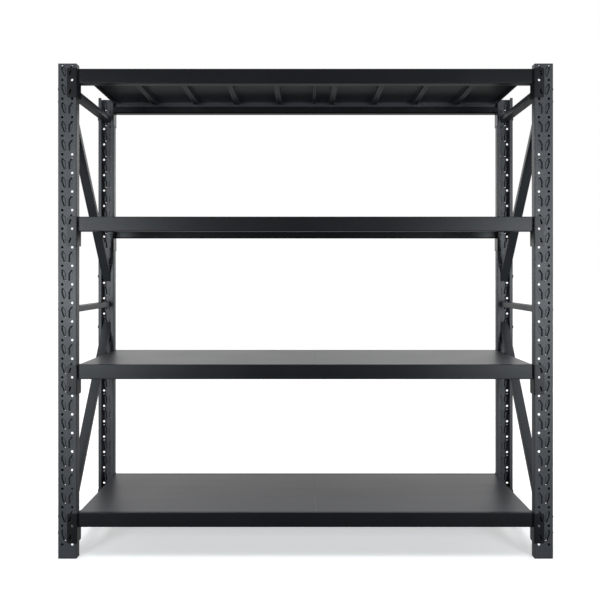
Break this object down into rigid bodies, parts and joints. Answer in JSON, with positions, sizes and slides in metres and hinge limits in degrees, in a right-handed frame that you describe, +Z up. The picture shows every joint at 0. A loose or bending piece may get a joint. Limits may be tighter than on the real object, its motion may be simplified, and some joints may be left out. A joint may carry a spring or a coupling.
{
  "type": "boltless steel shelving bay",
  "caption": "Long-span boltless steel shelving bay: perforated channel uprights in braced side frames, hooked step beams and ribbed steel deck panels.",
  "frame": {"origin": "middle of the footprint, on the floor under the feet", "axes": "+X along the bay to the right, +Y from the front to the back, +Z up"},
  "size_m": [2.0112, 0.6056, 2],
  "materials": {
    "frame_paint": "charcoal powder coat, fine texture, satin",
    "beam_paint": "charcoal powder coat, smooth satin",
    "deck_paint": "charcoal powder coat, smooth satin",
    "foot_plastic": "black moulded plastic, fine grain",
    "fastener": "black zinc plate"
  },
  "bodies": {
    "side_frames": {"upright_front_left": "frame_paint", "foot_front_left": "foot_plastic", "brace_bolt_front_left_1": "fastener", "brace_bolt_front_left_2": "fastener", "brace_bolt_front_left_3": "fastener", "brace_bolt_front_left_4": "fastener", "brace_bolt_front_left_5": "fastener", "upright_rear_left": "frame_paint", "foot_rear_left": "foot_plastic", "brace_bolt_rear_left_1": "fastener", "brace_bolt_rear_left_2": "fastener", "brace_bolt_rear_left_3": "fastener", "brace_bolt_rear_left_4": "fastener", "brace_bolt_rear_left_5": "fastener", "strut_top_left": "frame_paint", "strut_middle_left": "frame_paint", "strut_bottom_left": "frame_paint", "diagonal_upper_left": "frame_paint", "diagonal_lower_left": "frame_paint", "upright_front_right": "frame_paint", "foot_front_right": "foot_plastic", "brace_bolt_front_right_1": "fastener", "brace_bolt_front_right_2": "fastener", "brace_bolt_front_right_3": "fastener", "brace_bolt_front_right_4": "fastener", "brace_bolt_front_right_5": "fastener", "upright_rear_right": "frame_paint", "foot_rear_right": "foot_plastic", "brace_bolt_rear_right_1": "fastener", "brace_bolt_rear_right_2": "fastener", "brace_bolt_rear_right_3": "fastener", "brace_bolt_rear_right_4": "fastener", "brace_bolt_rear_right_5": "fastener", "strut_top_right": "frame_paint", "strut_middle_right": "frame_paint", "strut_bottom_right": "frame_paint", "diagonal_upper_right": "frame_paint", "diagonal_lower_right": "frame_paint"},
    "beam_front_1": {"beam_front_1": "beam_paint"},
    "beam_rear_1": {"beam_rear_1": "beam_paint"},
    "deck_left_1": {"deck_left_1": "deck_paint"},
    "deck_right_1": {"deck_right_1": "deck_paint"},
    "beam_front_2": {"beam_front_2": "beam_paint"},
    "beam_rear_2": {"beam_rear_2": "beam_paint"},
    "deck_left_2": {"deck_left_2": "deck_paint"},
    "deck_right_2": {"deck_right_2": "deck_paint"},
    "beam_front_3": {"beam_front_3": "beam_paint"},
    "beam_rear_3": {"beam_rear_3": "beam_paint"},
    "deck_left_3": {"deck_left_3": "deck_paint"},
    "deck_right_3": {"deck_right_3": "deck_paint"},
    "beam_front_4": {"beam_front_4": "beam_paint"},
    "beam_rear_4": {"beam_rear_4": "beam_paint"},
    "deck_left_4": {"deck_left_4": "deck_paint"},
    "deck_right_4": {"deck_right_4": "deck_paint"}
  },
  "joints": [
    {"name": "beam_front_1_lift", "type": "slide", "parent": "side_frames", "child": "beam_front_1", "axis": [0, 0, 1], "range_m": [0, 0.012]},
    {"name": "beam_rear_1_lift", "type": "slide", "parent": "side_frames", "child": "beam_rear_1", "axis": [0, 0, 1], "range_m": [0, 0.012]},
    {"name": "deck_left_1_lift", "type": "slide", "parent": "beam_front_1", "child": "deck_left_1", "axis": [0, 0, 1], "range_m": [0, 0.4]},
    {"name": "deck_right_1_lift", "type": "slide", "parent": "beam_front_1", "child": "deck_right_1", "axis": [0, 0, 1], "range_m": [0, 0.4]},
    {"name": "beam_front_2_lift", "type": "slide", "parent": "side_frames", "child": "beam_front_2", "axis": [0, 0, 1], "range_m": [0, 0.012]},
    {"name": "beam_rear_2_lift", "type": "slide", "parent": "side_frames", "child": "beam_rear_2", "axis": [0, 0, 1], "range_m": [0, 0.012]},
    {"name": "deck_left_2_lift", "type": "slide", "parent": "beam_front_2", "child": "deck_left_2", "axis": [0, 0, 1], "range_m": [0, 0.4]},
    {"name": "deck_right_2_lift", "type": "slide", "parent": "beam_front_2", "child": "deck_right_2", "axis": [0, 0, 1], "range_m": [0, 0.4]},
    {"name": "beam_front_3_lift", "type": "slide", "parent": "side_frames", "child": "beam_front_3", "axis": [0, 0, 1], "range_m": [0, 0.012]},
    {"name": "beam_rear_3_lift", "type": "slide", "parent": "side_frames", "child": "beam_rear_3", "axis": [0, 0, 1], "range_m": [0, 0.012]},
    {"name": "deck_left_3_lift", "type": "slide", "parent": "beam_front_3", "child": "deck_left_3", "axis": [0, 0, 1], "range_m": [0, 0.4]},
    {"name": "deck_right_3_lift", "type": "slide", "parent": "beam_front_3", "child": "deck_right_3", "axis": [0, 0, 1], "range_m": [0, 0.4]},
    {"name": "beam_front_4_lift", "type": "slide", "parent": "side_frames", "child": "beam_front_4", "axis": [0, 0, 1], "range_m": [0, 0.012]},
    {"name": "beam_rear_4_lift", "type": "slide", "parent": "side_frames", "child": "beam_rear_4", "axis": [0, 0, 1], "range_m": [0, 0.012]},
    {"name": "deck_left_4_lift", "type": "slide", "parent": "beam_front_4", "child": "deck_left_4", "axis": [0, 0, 1], "range_m": [0, 0.4]},
    {"name": "deck_right_4_lift", "type": "slide", "parent": "beam_front_4", "child": "deck_right_4", "axis": [0, 0, 1], "range_m": [0, 0.4]}
  ],
  "couplings": [
    {"joint": "beam_rear_1_lift", "follows": "beam_front_1_lift", "ratio": 1},
    {"joint": "beam_rear_2_lift", "follows": "beam_front_2_lift", "ratio": 1},
    {"joint": "beam_rear_3_lift", "follows": "beam_front_3_lift", "ratio": 1},
    {"joint": "beam_rear_4_lift", "follows": "beam_front_4_lift", "ratio": 1}
  ]
}
